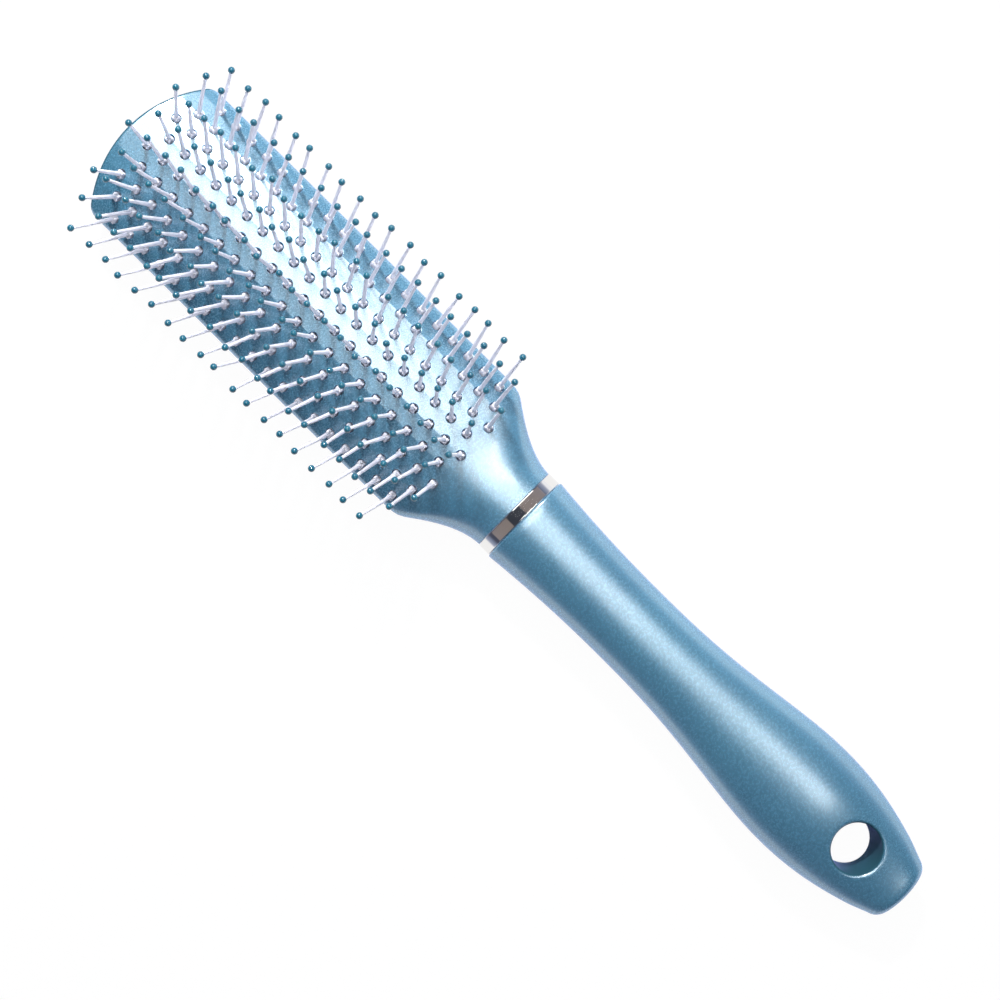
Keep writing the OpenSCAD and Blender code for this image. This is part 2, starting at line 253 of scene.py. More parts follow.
# Front shell: the face as a grid of quarter-pitch cells, with every hole's four by four block of
# cells given over to rings that run to the hole, round its rim and down to the inside.
def frontShell():
    tipCols, shoulderCols, neckCols, under = 6, 7, 8, 12
    neckQ, firstRing, creaseTol = 6, 0.08, 0.004
    quarter = pins["pitch"] / 4
    holeCols = pins["first"] - pins["pitch"] / 2 + quarter * np.arange(4 * pinsMid + 1)
    coverEnd = neckEnd - neck["coverRun"]
    xs = np.concatenate([np.zeros(tipCols), holeCols,
                         np.linspace(holeCols[-1], coverEnd, shoulderCols)[1:],
                         np.linspace(coverEnd, neckEnd, neckCols)[1:]])
    lines = np.arange(-2 * pins["rows"], 2 * pins["rows"] + 1)  # quarter lands from the middle
    f = lines * landAngle / 4
    start = {0: 0, 1: 2, 2: 0, 3: 2, 4: 4}  # first hole column of each row
    first = np.array([min(start[int(abs(b))] for b in np.unique(np.clip(
        [np.floor((n + 2) / 4), np.ceil((n - 2) / 4)], -midRow, midRow))) for n in lines]) + tipCols
    toTip = np.clip(1 - np.arange(len(xs))[:, None] / first[None], 0, 1)

    def faceGrid(t):
        s = tipAngle(f, head["archR"], t)
        edge = tipEdge(s, np.array([archQ]), 1, t)[0]
        x = np.where(toTip > 0, edge[None, :, 0] * toTip + xs[first][None] * (1 - toTip), xs[:, None])
        q = faceQ(np.minimum(x, holeCols[-1]), f[None], t)
        runOut = ease((x - holeCols[-1]) / (neckEnd - holeCols[-1]))
        q = q * (1 - runOut) + lines[None] / lines[-1] * neckQ * runOut
        return across(wallX(x, t), q, 1, t), dict(x=x, q=q, s=s)

    skin = Skin()
    isTile = np.zeros((len(xs) - 1, len(lines) - 1), bool)
    blocks, centres = [], []
    for k in range(-midRow, midRow + 1):
        for px in pinPlaces(k):
            c = int(np.argmin(np.abs(holeCols - px))) + tipCols
            j = 4 * k + 2 * pins["rows"]
            isTile[c - 2:c + 2, j - 2:j + 2] = True
            blocks.append((c, j))
            centres.append((px, k * landAngle))
    blocks, centres = np.array(blocks), np.array(centres)
    rim = np.array([(2, 0), (2, 1), (2, 2), (1, 2), (0, 2), (-1, 2), (-2, 2), (-2, 1), (-2, 0), (-2, -1),
                    (-2, -2), (-1, -2), (0, -2), (1, -2), (2, -2), (2, -1)])
    around = np.arange(16) * math.pi / 8
    hr, rr = pins["holeD"] / 2, pins["holeRim"]
    swing = np.array([0, 30, 60, 90]) * math.pi / 180
    radii = np.concatenate([[hr + rr + firstRing], hr + rr * (1 - np.sin(swing)), [hr]])
    depths = np.concatenate([[0], rr * (1 - np.cos(swing)), [head["wall"]]])
    walls = {}
    for t in (0.0, head["wall"]):
        grid, walls[t] = faceGrid(t)
        walls[t]["g"] = skin.grid(grid)
        skin.sheet(walls[t]["g"], withoutCorners(~isTile))
    outer, inner = walls[0.0]["g"], walls[head["wall"]]["g"]
    loopO = outer[blocks[:, :1] + rim[:, 0], blocks[:, 1:] + rim[:, 1]]
    loopI = inner[blocks[:, :1] + rim[:, 0], blocks[:, 1:] + rim[:, 1]]
    px = centres[:, None, :1] + radii[None, :, None] * np.cos(around)
    pf = centres[:, None, 1:] + radii[None, :, None] * np.sin(around) / head["archR"]
    rings = np.zeros(px.shape + (3,))
    for i, t in enumerate(depths):
        rings[:, i] = across(px[:, i], faceQ(px[:, i], pf[:, i], t), 1, t)
    h = skin.grid(rings)
    stack = np.concatenate([loopO[:, None], h, loopI[:, None]], 1)
    near = np.concatenate([stack, stack[:, :, :1]], 2)
    skin.add(np.stack([near[:, :-1, :-1], near[:, 1:, :-1], near[:, 1:, 1:], near[:, :-1, 1:]], -1))

    ends = {}
    for t in (0.0, head["wall"]):
        g, x = walls[t]["g"], walls[t]["x"]
        path = edgeBand(skin, g, x, walls[t]["q"], walls[t]["s"], 1, t)
        # The neck's underside, past the end of the cover.
        past = np.arange(len(xs) - neckCols, len(xs))
        qs = wallQ * np.linspace(1, -1, 2 * under + 1)
        low = skin.grid(across(wallX(x[past, :1], t), qs[None], -1, t))
        low[:, 0], low[:, -1] = path[len(xs) - 1 - past, -1], path[len(path) - len(xs) + past, -1]
        skin.sheet(low)
        ends[t] = dict(edge=path[:, -1], low=low,
                       loop=np.concatenate([g[-1, :0:-1], path[-1, :-1], low[-1, :0:-1], path[0, :0:-1]]))
    o, i = ends[0.0], ends[head["wall"]]
    cut = slice(neckCols - 1, len(o["edge"]) - neckCols + 1)
    skin.sheet(np.stack([o["edge"][cut], i["edge"][cut]]))
    skin.sheet(np.stack([o["low"][0], i["low"][0]]))
    skin.add(i["loop"][None])
    # The ring's seat, then the tang that holds the handle.
    mouth = np.concatenate(skin.points)[o["loop"]]
    turn = np.arctan2(mouth[:, 1] / neck["width"], (mouth[:, 2] - neckZ) / neck["thick"])
    inset = [1, 1 - 2 * ring["thick"] / neck["width"], 1 - 2 * ring["thick"] / neck["thick"]]
    seat = (mouth - [0, 0, neckZ]) * inset + [0, 0, neckZ]
    tang = np.stack([0 * turn + mouthX, neck["tangD"] / 2 * np.sin(turn),
                     neckZ + neck["tangD"] / 2 * np.cos(turn)], -1)
    back = skin.grid(np.stack([seat, seat + [mouthX - neckEnd, 0, 0], tang, tang + [neck["tangL"], 0, 0]]))
    skin.sheet(np.concatenate([o["loop"][None], back]), wrap=True)
    skin.add(back[-1][None])
    ob = skin.make("front_shell_skin")
    # The flats of the face meet in crisp lines under the rows, as far as the shoulder.
    me = ob.data
    co = np.empty(len(me.vertices) * 3)
    me.vertices.foreach_get("co", co)
    co = co.reshape(-1, 3) / mm + [totalL / 2, 0, -axisZ]
    row = np.arctan2(co[:, 1], co[:, 2]) / landAngle
    underRow = (np.abs(row - np.round(row)) < creaseTol) & (np.abs(row) < midRow + 0.1)
    underRow &= (np.hypot(co[:, 1], co[:, 2]) > head["archR"] - 0.1) & (co[:, 0] < head["length"] + 1)
    pairs = np.empty(len(me.edges) * 2, np.int32)
    me.edges.foreach_get("vertices", pairs)
    pairs = pairs.reshape(-1, 2)
    crisp = me.attributes["sharp_edge"].data
    was = np.empty(len(pairs), bool)
    crisp.foreach_get("value", was)
    crisp.foreach_set("value", was | (underRow[pairs[:, 0]] & underRow[pairs[:, 1]]))
    return ob


# Past the end of the cover the inside stops short of the ring, at the neck's solid end.
def wallX(x, t):
    coverEnd = neckEnd - neck["coverRun"]
    share = 1 - neck["bulkhead"] / neck["coverRun"]
    return np.where((x > coverEnd) & (t > 0), coverEnd + (x - coverEnd) * share, x)


# Plan angles of the columns round a corner of the tip, and how far the strip behind them stands
# from them on the way to the corner cell's inner point.
cornerTurns = np.radians([28.2, 40, 52, 65, 77])
cornerStrip = 0.12


# Edge, corner and wall of a half of the head: down one side, round the tip and up the other.
# Its path starts at the neck on the +Y side. x, q are the half's own grid, s its tip angles.
def edgeBand(skin, g, x, q, s, side, t, steps=8):
    down = archQ + (wallQ - archQ) * np.arange(steps + 1) / steps
    sideDown = np.abs(q[:, -1:]) + (wallQ - np.abs(q[:, -1:])) * np.arange(steps + 1) / steps
    walls = []
    for column, sign in ((slice(-1, None), 1), (slice(0, 1), -1)):
        p = across(wallX(x[:, column], t), sign * sideDown, side, t)
        if side > 0:  # the parting stays level where the neck's oval rises over it
            overCover = x[:, column][:, 0] < neckEnd - neck["coverRun"] + 1e-6
            p[:, -1, 2] = np.where(overCover, partH, p[:, -1, 2])
        walls.append(p)
    left, right = skin.grid(walls[0][::-1]), skin.grid(walls[1])
    a = skin.grid(tipEdge(cornerTurns[::-1], down, side, t).transpose(1, 0, 2))
    b = skin.grid(tipEdge(s[::-1][1:-1], down, side, t).transpose(1, 0, 2))
    c = skin.grid(tipEdge(-cornerTurns, down, side, t).transpose(1, 0, 2))
    left[:, 0], right[:, 0] = g[::-1, -1], g[:, 0]
    b[:, 0] = g[0, ::-1][1:-1]
    path = np.concatenate([left, a, b, c, right])
    skin.sheet(path)
    # The corner cells: a narrow strip behind the arc keeps the shading of the rest level.
    for ends, arc, back, hub in (((g[0, -1], g[0, -2]), a[:, 0], (g[1, -2], g[1, -1]), g[1, -2]),
                                 ((g[0, 1], g[0, 0]), c[:, 0], (g[1, 0], g[1, 1]), g[1, 1])):
        places = np.concatenate(skin.points)
        strip = skin.grid(places[arc] * (1 - cornerStrip) + places[hub] * cornerStrip)
        skin.sheet(np.stack([arc, strip]))
        skin.add([[ends[0], arc[0], strip[0]], [arc[-1], ends[1], strip[-1]]])
        skin.add([[ends[0], *strip, ends[1], *back]])
    return path


# The two cells that the tip's corners take over are left out of a grid's own faces.
def withoutCorners(keep):
    keep = keep.copy()
    keep[0, 0] = keep[0, -1] = False
    return keep


# Back cover: the same grid idea with the flat back arch, whose corners grow rounder from the tip.
def backCover():
    tipCols, half, seam = 6, 10, 0.09
    coverEnd = neckEnd - neck["coverRun"] - neck["coverGap"]
    q = archQ * np.arange(-half, half + 1) / half
    f = float(archAngle(halfW, head["backR"], head["edgeR"])) * q / archQ
    # Close columns where the corners grow, far ones along the straight and close ones at the neck.
    body = np.concatenate([np.arange(9.0, 30, 2.5), np.arange(34.0, 98, 8),
                           np.arange(100.0, coverEnd - 0.5, 1.6), [coverEnd]])
    toTip = (1 - np.arange(tipCols) / tipCols)[:, None]
    q = np.repeat(q[None], tipCols + len(body), 0)
    skin, parts = Skin(), {}
    for t in (0.0, head["wall"]):
        s = tipAngle(f, head["backR"], t)
        edge = tipEdge(s, np.array([archQ]), -1, t)[0]
        x = np.concatenate([edge[None, :, 0] * toTip + body[0] * (1 - toTip),
                            np.repeat(body[:, None], len(f), 1)])
        g = skin.grid(across(x, q, -1, t))
        skin.sheet(g, withoutCorners(np.ones((len(x) - 1, len(q[0]) - 1), bool)))
        path = edgeBand(skin, g, x, q, s, -1, t)
        rim = np.concatenate([path[0, ::-1], g[-1, -2:0:-1], path[-1]])
        parts[t] = dict(edge=path[:, -1], rim=rim)
    o, i = parts[0.0], parts[head["wall"]]
    skin.sheet(np.stack([o["edge"], i["edge"]]))
    skin.sheet(np.stack([o["rim"], i["rim"]]))
    for p in skin.points:  # a hair's breadth of seam under the front shell
        p[:, 2] = np.where(p[:, 2] > partH - 1e-4, partH - seam, p[:, 2])
    return skin.make("back_cover_skin")


# Loops of the neck's and handle's oval: y = w sin^p, z = h cos^p at n angles from the top round.
def ovals(x, w, h, z, n=96, p=neck["ovalPow"]):
    a = np.arange(n) * 2 * math.pi / n
    x, w, h, z = np.broadcast_arrays(*[np.asarray(v, float)[..., None] for v in (x, w, h, z)])
    y = w * np.sign(np.sin(a)) * np.abs(np.sin(a)) ** p
    return np.stack([x + 0 * a, y, z + h * np.sign(np.cos(a)) * np.abs(np.cos(a)) ** p], -1)


# Ring: a band's profile, as length along the brush and height over the neck, carried round the oval.
def ferruleRing():
    e, length = ring["edge"], ring["length"]
    turn = np.radians([0, 30, 60, 90])
    u = np.array([0.02, 0.5, 0.98])  # loops near the flat band's edges keep its shading flat
    along = np.concatenate([e - e * np.cos(turn), e + (length - 2 * e) * u, length - e + e * np.sin(turn)])
    lift = ring["crown"] - e + np.concatenate([e * np.sin(turn), e + 0 * u, e * np.cos(turn)])
    along = np.concatenate([[0], along, [length]])
    lift = np.concatenate([[ring["fit"] - ring["thick"]], lift, [ring["fit"] - ring["thick"]]])
    skin = Skin()
    x = neckEnd + ring["gap"] + along
    g = skin.grid(ovals(x, neck["width"] / 2 + lift, neck["thick"] / 2 + lift, neckZ))
    skin.sheet(np.concatenate([g, g[:1]]), wrap=True)
    return skin.make("ferrule_ring_skin")


# Handle: half width, half thickness and middle height at u from its mouth. A parabola runs from
# the mouth to the waist, a smooth step on to the palm, then a cosine closes in on the end.
grip = dict(length=120.6, step=0.45, waistX=33.0, waistW=20.2, waistT=14.4, palmX=88.5, palmW=28.4,
            palmT=16.4, palmPow=1.4, endW=15.4, endT=7.6, endZ=8.6, endBow=0.8, bowRun=8.0, endR=1.5,
            endPow=1.1, mouthR=0.5, holeD=11.8, holeX=15.9, holeRim=0.8, holeLean=1.5)
totalL = mouthX + grip["length"]


def gripForm(u):
    toWaist = (1 - u / grip["waistX"]) ** 2
    pastWaist = np.clip((u - grip["waistX"]) / (grip["palmX"] - grip["waistX"]), 0, 1)
    toPalm = ease(pastWaist ** grip["palmPow"])
    past = np.clip((u - grip["palmX"]) / (grip["length"] - grip["palmX"]), 0, 1)

    def run(mouth, waist, palm, end, close):
        low = np.where(u < grip["waistX"], waist + (mouth - waist) * toWaist,
                       waist + (palm - waist) * toPalm)
        return np.where(u < grip["palmX"], low, palm + (end - palm) * close) / 2

    w = run(neck["width"] + 2 * grip["step"], grip["waistW"], grip["palmW"], grip["endW"],
            1 - np.cos(math.pi / 2 * past ** grip["endPow"]))
    h = run(neck["thick"] + 2 * grip["step"], grip["waistT"], grip["palmT"], grip["endT"], ease(past))
    rise = ease(u / grip["palmX"])
    z = np.where(u < grip["palmX"], neckZ + (grip["palmT"] / 2 - neckZ) * rise,
                 grip["palmT"] / 2 + (grip["endZ"] - grip["palmT"] / 2) * ease(past))
    return w, h, z


# Height of the handle's skin over a place in plan: z + h cos^p a on top, z - h cos^p a underneath,
# with a from y = w sin^p a. side is 1 for the top and -1 for the underside.
def gripSkin(u, y, side):
    w, h, z = gripForm(u)
    a = np.arcsin(np.clip(np.abs(y) / w, 0, 1) ** (1 / neck["ovalPow"]))
    return z + side * h * np.cos(a) ** neck["ovalPow"]


# The handle's loops run from its bore round the mouth and down to the end. Round the hanging
# hole a block of cells on top and below gives way to rings that run to the hole's round rim.
def handleSkin():
    n, halfBlock, blockCells, blockL = 96, 12, 16, 18
    shaftLoops, endLoops, capSteps, rimSteps = 56, 5, (0.35, 0.7), (0.3, 0.6, 0.85)
    holeU = grip["length"] - grip["holeX"]
    quarter = np.radians([0, 22.5, 45, 67.5, 90])
    mouthU = grip["mouthR"] * (1 - np.cos(quarter))
    mouthIn = grip["mouthR"] * (1 - np.sin(quarter))
    block = holeU + np.linspace(-blockL / 2, blockL / 2, blockCells + 1)
    endU = grip["length"] - grip["endR"] * (1 - np.sin(quarter))
    endIn = grip["endR"] * (1 - np.cos(quarter))
    shaft = np.linspace(mouthU[-1], block[0], shaftLoops)[1:-1]
    body = np.concatenate([shaft, block, np.linspace(block[-1], endU[0], endLoops)[1:-1]])
    u = np.concatenate([mouthU, body, endU])
    inset = np.concatenate([mouthIn, 0 * body, endIn])
    w, h, z = gripForm(u)
    loops = ovals(u, w - inset, h - inset, z, n)
    bow = grip["endBow"] * (2 * loops[..., 1] / grip["endW"]) ** 2
    loops[..., 0] -= bow * ease((loops[..., 0] - grip["length"] + grip["bowRun"]) / grip["bowRun"])
    caps = np.stack([loops[-1] + (loops[-1].mean(0) - loops[-1]) * [0, c, c] for c in capSteps])
    caps[..., 0] = grip["length"] - grip["endBow"] * (2 * caps[..., 1] / grip["endW"]) ** 2
    boreR = [neck["tangD"] / 2 + neck["tangFit"]] * 2
    bore = ovals([neck["tangL"] + neck["tangFit"], 0], boreR, boreR, [neckZ] * 2, n, 1)
    skin = Skin()
    loops = np.concatenate([bore, loops, caps])
    g = skin.grid(loops + [mouthX, 0, 0])
    keep = np.ones((len(g) - 1, n), bool)
    first = len(bore) + len(mouthU) + len(shaft)
    lines = {1: np.arange(-halfBlock, halfBlock + 1),
             -1: np.arange(n // 2 + halfBlock, n // 2 - halfBlock - 1, -1)}
    for side in (1, -1):
        cells = np.arange(-halfBlock, halfBlock) + (0 if side > 0 else n // 2)
        keep[first:first + blockCells, cells % n] = False
    skin.sheet(g, keep, wrap=True)
    skin.add(g[0][None])
    skin.add(g[-1][None])
    rims = {}
    for side in (1, -1):
        m = g[first:first + blockCells + 1][:, lines[side] % n]
        edge = np.concatenate([m[0, :-1], m[:-1, -1], m[-1, :0:-1], m[:0:-1, 0]])
        centre = holeU - (grip["holeLean"] if side < 0 else 0)
        at = np.concatenate(skin.points)[edge] - [mouthX + centre, 0, 0]
        turn = np.arctan2(at[:, 1], at[:, 0])
        out = np.hypot(at[:, 0], at[:, 1])
        r0, rr = grip["holeD"] / 2, grip["holeRim"]
        rows, deep = [], []
        for part in rimSteps:
            rows.append(out + (r0 + rr - out) * part)
            deep.append(0.0)
        for a in quarter:
            rows.append(0 * out + r0 + rr * (1 - math.sin(a)))
            deep.append(rr * (1 - math.cos(a)))
        r = np.stack(rows)
        px, py = r * np.cos(turn), r * np.sin(turn)
        pz = gripSkin(centre + px, py, side) - side * np.array(deep)[:, None]
        ringIndex = skin.grid(np.stack([px + mouthX + centre, py, pz], -1))
        skin.sheet(np.concatenate([edge[None], ringIndex]), wrap=True)
        rims[side] = ringIndex[-1]
    skin.sheet(np.stack([rims[1], rims[-1]]), wrap=True)
    return skin.make("handle_skin")


# Lean of the pins at their tips, along the brush and round the face: a drift of each row, from
# the tip of the head to the neck, with a little chance. No tip leaves the fan's own width.
lean = dict(seed=11, along=0.42, round=0.36,
            rowAlong=(-0.6, 0.0, -0.15, -0.1, -0.1, 0.1, 0.05, 0.4, 0.15),
            rowRound=(-0.2, 0.15, 0.0, -0.2, -0.25, -0.05, 0.15, 0.5, -0.55),
            rowTwist=(-0.05, -0.45, -0.55, -0.9, -1.1, -0.3, 0.45, 0.1, 0.2), chanceMax=2, bend=1.25)


def pinLean(k):
    x, row = pinPlaces(k), k + midRow
    t = 2 * (x - x[0]) / (x[-1] - x[0]) - 1
    chance = np.random.default_rng(lean["seed"] + row).normal(0, 1, (2, len(x)))
    chance = np.clip(chance, -lean["chanceMax"], lean["chanceMax"])
    along = lean["rowAlong"][row] + lean["along"] * chance[0]
    aside = lean["rowRound"][row] + lean["rowTwist"][row] * t + lean["round"] * chance[1]
    if abs(k) == midRow:
        aside = -np.sign(k) * np.abs(aside)
    return np.stack([along, aside], -1)


# A place on row k: x along, h over the face along the pin's axis, and c square to both, so
# y = (r + h) sin a + c cos a and z = (r + h) cos a - c sin a from the arch's own axis.
def onRow(k, x, h, c):
    a = k * landAngle
    r = head["archR"] + h
    return np.stack(np.broadcast_arrays(x, r * math.sin(a) + c * math.cos(a),
                                        axisZ + r * math.cos(a) - c * math.sin(a)), -1)


# The way a pin bends: straight out of its collar, then further over towards its tip, by its lean
# times (h / height)^bend. It stands lower by the square of that over twice its height.
def pinPath(k, h):
    sway = pinLean(k)[:, None, :] * (np.clip(h, 0, None)[None, :, None] / pins["height"]) ** lean["bend"]
    drop = (sway ** 2).sum(-1) / (2 * pins["height"])
    return pinPlaces(k)[:, None] + sway[..., 0], h[None] - drop, sway[..., 1]


# Row of pins: bent, tapered tubes of eight sides, their collars, and the strip that carries them.
def pinRow(k):
    skin = Skin()
    a8, a16 = np.arange(8) * math.pi / 4, np.arange(16) * math.pi / 8
    foot = -head["wall"] - pins["stripGap"]
    # Shafts taper evenly from the strip to the balls. They start in the collars and end in the balls.
    low, high, bends = 0.4, pins["height"] - 0.4, (4.5, 9.0, 12.8)
    h = np.array([low, *bends, high])
    r = pins["rootD"] / 2 + (pins["topD"] - pins["rootD"]) / 2 * (h - foot) / (pins["height"] - foot)
    x, up, c = pinPath(k, h)
    g = skin.grid(onRow(k, x[..., None] + r[:, None] * np.cos(a8), up[..., None],
                        c[..., None] + r[:, None] * np.sin(a8)))
    skin.tubes(g)
    skin.add(g[:, 0])
    skin.add(g[:, -1])
    # Collars: four soft lobes, r = a - b (1 + cos 4t) / 2, rounded over at the top.
    lobes = pins["collarD"] / 2 - pins["lobe"] * (1 + np.cos(4 * a16)) / 2
    top, below, cut = pins["collarH"], (0.3, 0.08), np.array([0, 0, 0.12, 0.34])[:, None]
    h = np.array([foot, top - below[0], top - below[1], top])
    x = pinPlaces(k)[:, None, None] + ((lobes - cut) * np.cos(a16))[None]
    c = ((lobes - cut) * np.sin(a16))[None] - pins["collarShift"]
    g = skin.grid(onRow(k, x, h[None, :, None] + 0 * x, c + 0 * x))
    skin.tubes(g)
    skin.add(g[:, 0])
    skin.add(g[:, -1])
    # The strip under the face: a cosine and sine raised to a low power, a soft-cornered oblong.
    x = pinPlaces(k)
    near, far, taper, power = x[0] - pins["stripEnd"], x[-1] + pins["stripEnd"], 0.3, 0.3
    ends = np.array([near, near + taper, far - taper, far])
    size = np.array([0.85, 1, 1, 0.85])[:, None]
    y = pins["stripW"] / 2 * np.sign(np.cos(a16)) * np.abs(np.cos(a16)) ** power
    z = pins["stripT"] / 2 * np.sign(np.sin(a16)) * np.abs(np.sin(a16)) ** power
    g = skin.grid(onRow(k, ends[:, None] + 0 * y, foot - pins["stripT"] / 2 + size * z, size * y))
    skin.sheet(g, wrap=True)
    skin.add(g[0][None])
    skin.add(g[-1][None])
    return skin.make("pin_row_%d_skin" % (k + midRow + 1), sharp=50)


# Balls: a sphere at each leaning pin's end, r cos(lat) out and r sin(lat) up, in eight steps of
# latitude and twelve of longitude.
def ballRow(k):
    x, up, c = pinPath(k, np.array([pins["height"]]))
    lat = np.linspace(-90, 90, 9)[1:-1] * math.pi / 180
    lon = np.arange(12) * math.pi / 6
    r = pins["ballD"] / 2
    out, rise = (r * np.cos(lat))[:, None], (r * np.sin(lat))[:, None]
    skin = Skin()
    g = skin.grid(onRow(k, x[..., None] + out * np.cos(lon), up[..., None] + rise + 0 * lon,
                        c[..., None] + out * np.sin(lon)))
    near = skin.tubes(g)
    poles = skin.grid(onRow(k, x + 0 * up, up + np.array([[-r, r]]), c + np.array([[0.0, 0.0]])))
    for end, row in ((0, 0), (1, -1)):
        loop = near[:, row]
        pole = np.broadcast_to(poles[:, end:end + 1], loop[:, 1:].shape)
        skin.add(np.stack([pole, loop[:, :-1], loop[:, 1:]], -1))
    return skin.make("ball_row_%d_skin" % (k + midRow + 1), sharp=180)


# Materials. Every pattern is read from object coordinates, so it stays with the surface.
def newMaterial(name, **sockets):
    mat = bpy.data.materials.new(name)
    mat.use_nodes = True
    shader = mat.node_tree.nodes["Principled BSDF"]
    for key, value in sockets.items():
        shader.inputs[key.replace("_", " ")].default_value = value
    return mat, mat.node_tree, shader


def noise(tree, where, scale, detail=2.0):
    node = tree.nodes.new("ShaderNodeTexNoise")
    node.inputs["Scale"].default_value = scale
    node.inputs["Detail"].default_value = detail
    tree.links.new(where, node.inputs["Vector"])
    return node.outputs["Fac"]


def spread(tree, value, lo, hi, toLo, toHi):
    node = tree.nodes.new("ShaderNodeMapRange")
    for key, v in (("From Min", lo), ("From Max", hi), ("To Min", toLo), ("To Max", toHi)):
        node.inputs[key].default_value = v
    tree.links.new(value, node.inputs["Value"])
    return node.outputs["Result"]


# A Math node. Each of its inputs is a number or another node's socket.
def maths(tree, operation, *values):
    node = tree.nodes.new("ShaderNodeMath")
    node.operation = operation
    for socket, v in zip(node.inputs, values):
        if isinstance(v, (int, float)):
            socket.default_value = v
        else:
            tree.links.new(v, socket)
    return node.outputs[0]


# Distance from a point, with only the given parts of the place counted.
def distance(tree, parts, point):
    seen = tree.nodes.new("ShaderNodeCombineXYZ")
    for axis, socket in parts.items():
        tree.links.new(socket, seen.inputs[axis])
    node = tree.nodes.new("ShaderNodeVectorMath")
    node.operation = "DISTANCE"
    node.inputs[1].default_value = point
    tree.links.new(seen.outputs[0], node.inputs[0])
    return node.outputs["Value"]


def blend(tree, fac, a, b):
    node = tree.nodes.new("ShaderNodeMix")
    node.data_type = "RGBA"
    tree.links.new(fac, node.inputs[0])
    for socket, v in ((node.inputs[6], a), (node.inputs[7], b)):
        if isinstance(v, tuple):
            socket.default_value = v
        else:
            tree.links.new(v, socket)
    return node.outputs[2]


# Pearl paint. light and dark are its ground; the third colour is painted shade, dark and without gloss,
# down the hanging hole and along the tip's edge.
# slant is where, by Layer Weight's Facing, gloss and tint turn from the first value to the second.
# The edges of the painted shade are in millimetres: out from the hole, in from the tip's bow, down
# from the face and along the brush.
paint = dict(light=(0.077, 0.264, 0.405, 1), dark=(0.067, 0.232, 0.37, 1), paintedShade=(0.025, 0.085, 0.12, 1),
             flake=0.3, fine=2600, cloud=45, sparkFrom=0.55, sparkGain=1.28, sparkLift=0.012,
             roughness=0.27, roughSpan=0.015, metallic=0.3, ior=3.0, gloss=(0.5, 0.75),
             slant=(0.2, 0.55), tint=((1.0, 0.91, 0.78, 1), (0.68, 0.78, 1.0, 1)),
             coat=0.4, coatRoughness=0.08, sheen=1.0, sheenTint=(0.45, 0.55, 1.0, 1),
             sheenRoughness=0.24, bump=0.014, bumpDepth=0.00005,
             holeEdge=(0.35, 0.55), tipEdge=(0.58, 0.45), faceEdge=(0.9, 0.6), tipEnd=(33.5, 43.5))


# The flakes are cells of a third of a millimetre, some a little lighter, in a ground that clouds
# softly over some centimetres.
def pearlGroup():
    tree = bpy.data.node_groups.new("pearlFlakes", "ShaderNodeTree")
    for name, kind in (("Color", "Color"), ("Roughness", "Float"), ("Height", "Float")):
        tree.interface.new_socket(name, in_out="OUTPUT", socket_type="NodeSocket" + kind)
    out = tree.nodes.new("NodeGroupOutput")
    where = tree.nodes.new("ShaderNodeTexCoord").outputs["Object"]
    cells = tree.nodes.new("ShaderNodeTexVoronoi")
    cells.inputs["Scale"].default_value = 1 / (paint["flake"] * mm)
    tree.links.new(where, cells.inputs["Vector"])
    pick = tree.nodes.new("ShaderNodeSeparateColor")
    tree.links.new(cells.outputs["Color"], pick.inputs["Color"])
    fine = noise(tree, where, paint["fine"])
    cloud = noise(tree, where, paint["cloud"], 1.5)
    ground = blend(tree, spread(tree, cloud, 0.3, 0.7, 0, 1), paint["dark"], paint["light"])
    spark = maths(tree, "MULTIPLY", spread(tree, pick.outputs["Red"], paint["sparkFrom"], 1.0, 0, 1),
                  spread(tree, fine, 0.35, 0.75, 0.2, 1))
    bright = tuple(min(1, c * paint["sparkGain"] + paint["sparkLift"]) for c in paint["light"][:3]) + (1,)
    tree.links.new(blend(tree, spark, ground, bright), out.inputs["Color"])
    rough, span = paint["roughness"], paint["roughSpan"]
    tree.links.new(spread(tree, pick.outputs["Green"], 0, 1, rough - span, rough + span),
                   out.inputs["Roughness"])
    tree.links.new(fine, out.inputs["Height"])
    return tree


# Mask of the painted shade, a dark dull colour down the hanging hole, whose axis leans, and along the
# tip's edge.
def paintedShadeMask(tree):
    place = tree.nodes.new("ShaderNodeSeparateXYZ")
    tree.links.new(tree.nodes.new("ShaderNodeTexCoord").outputs["Object"], place.inputs[0])
    x, y, z = (place.outputs[axis] for axis in "XYZ")
    holeU, holeR = grip["length"] - grip["holeX"], grip["holeD"] / 2
    low, high = (float(gripSkin(holeU, 0.0, side)) for side in (-1, 1))
    slope = grip["holeLean"] / (high - low)
    foot = (mouthX + holeU - totalL / 2 - slope * high) * mm
    fromAxis = distance(tree, dict(X=maths(tree, "MULTIPLY_ADD", z, -slope, x), Y=y), (foot, 0, 0))
    inHole = spread(tree, fromAxis, *((holeR + a) * mm for a in paint["holeEdge"]), 1, 0)
    fromBow = distance(tree, dict(X=x, Y=y), ((head["bowR"] - totalL / 2) * mm, 0, 0))
    fromArch = distance(tree, dict(Y=y, Z=z), (0, 0, axisZ * mm))
    onEdge = spread(tree, fromBow, *((head["bowR"] - a) * mm for a in paint["tipEdge"]), 0, 1)
    onFace = spread(tree, fromArch, *((head["archR"] - a) * mm for a in paint["faceEdge"]), 0, 1)
    atTip = spread(tree, x, *((a - totalL / 2) * mm for a in paint["tipEnd"]), 1, 0)
    onTip = maths(tree, "MULTIPLY", maths(tree, "MULTIPLY", onEdge, atTip), onFace)
    return maths(tree, "MAXIMUM", inHole, onTip)


